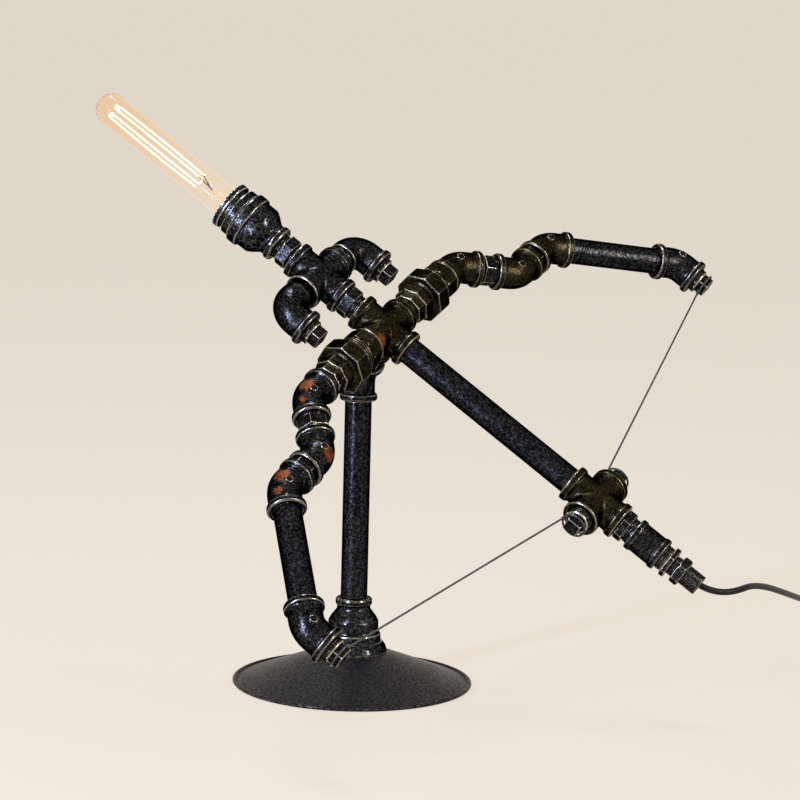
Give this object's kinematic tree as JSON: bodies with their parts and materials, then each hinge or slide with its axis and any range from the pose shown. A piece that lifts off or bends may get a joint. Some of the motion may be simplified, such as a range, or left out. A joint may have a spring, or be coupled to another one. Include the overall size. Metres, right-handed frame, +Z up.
{
  "type": "pipe fitting table lamp",
  "caption": "Crossbow-shaped table lamp made of iron pipe fittings: round dish base, tilted bow with cable strings, tubular filament bulb at the head and a corded tail.",
  "frame": {"origin": "centre of the base on the table, where the underside pad rests", "axes": "+Z up along the post, +X to the right in the front view, -Y towards the viewer in front"},
  "size_m": [0.7058, 0.447, 0.464],
  "materials": {
    "iron": "satin",
    "iron_gloss": "gloss",
    "iron_base": "satin",
    "iron_raw": "matte",
    "pad_rubber": "matte",
    "porcelain": "gloss",
    "brass": "satin",
    "glass": "gloss",
    "filament": "matte",
    "cable": "satin",
    "flex": "matte",
    "moulding": "satin",
    "pin_brass": "satin"
  },
  "bodies": {
    "lamp": {"base_dish": "iron_base", "base_collar": "iron_gloss", "base_stud": "iron", "base_weight": "iron_raw", "base_pad": "pad_rubber", "base_reducer": "iron_gloss", "post_pipe": "iron", "post_elbow": "iron", "post_nipple": "iron", "centre_cross": "iron", "head_cross": "iron", "tail_cross": "iron", "shaft_pipe": "iron", "neck_nipple": "iron", "head_nipple": "iron", "head_reducer": "iron", "lampholder_body": "iron", "lampholder_core": "porcelain", "lampholder_shell": "brass", "lampholder_contact": "brass", "barb_elbow_upper": "iron", "barb_elbow_lower": "iron", "pipe_plugs": "iron", "string_upper": "cable", "string_lower": "cable", "tail_nipple": "iron", "tail_coupling": "iron", "tail_end_nipple": "iron", "tail_locknut": "iron", "tail_gland": "pad_rubber", "inner_flex": "flex", "cord_lead": "flex", "cord_coil": "flex", "switch_housing": "moulding", "plug_body": "moulding", "plug_pins": "pin_brass", "limb_nipples_long": "iron", "limb_nipples_short": "iron", "union_tail_upper": "iron", "union_barrel_upper": "iron", "elbow_1_upper": "iron", "elbow_2_upper": "iron", "elbow_3_upper": "iron", "elbow_4_upper": "iron", "limb_pipe_upper": "iron", "union_tail_lower": "iron", "union_barrel_lower": "iron", "elbow_1_lower": "iron", "elbow_2_lower": "iron", "elbow_3_lower": "iron", "elbow_4_lower": "iron", "limb_pipe_lower": "iron"},
    "bulb": {"bulb_cap": "brass", "bulb_glass": "glass", "bulb_stem": "glass", "bulb_filament": "filament"},
    "shade_ring": {"lampholder_ring": "iron"},
    "nut_upper": {"union_nut_upper": "iron"},
    "nut_lower": {"union_nut_lower": "iron"},
    "rocker": {"switch_rocker": "moulding"}
  },
  "joints": [
    {"name": "bulb_unscrew", "type": "hinge", "parent": "lamp", "child": "bulb", "pos_m": [-0.09319, -0.00158, 0.3721], "axis": [-0.7822, 0.2303, 0.5789], "range_deg": [0, 350]},
    {"name": "ring_turn", "type": "hinge", "parent": "lamp", "child": "shade_ring", "pos_m": [-0.09319, -0.00158, 0.3721], "axis": [-0.7822, 0.2303, 0.5789], "range_deg": [0, 350]},
    {"name": "nut_upper_turn", "type": "hinge", "parent": "lamp", "child": "nut_upper", "pos_m": [0.04774, 0.00664, 0.31136], "axis": [0.5215, 0.7504, 0.4061], "range_deg": [0, 350]},
    {"name": "nut_lower_turn", "type": "hinge", "parent": "lamp", "child": "nut_lower", "pos_m": [-0.00963, -0.0759, 0.26669], "axis": [-0.5215, -0.7504, -0.4061], "range_deg": [0, 350]},
    {"name": "rocker_tilt", "type": "hinge", "parent": "lamp", "child": "rocker", "pos_m": [0.48, 0.081, 0.01585], "axis": [1, 0, 0], "range_deg": [0, 16]}
  ]
}
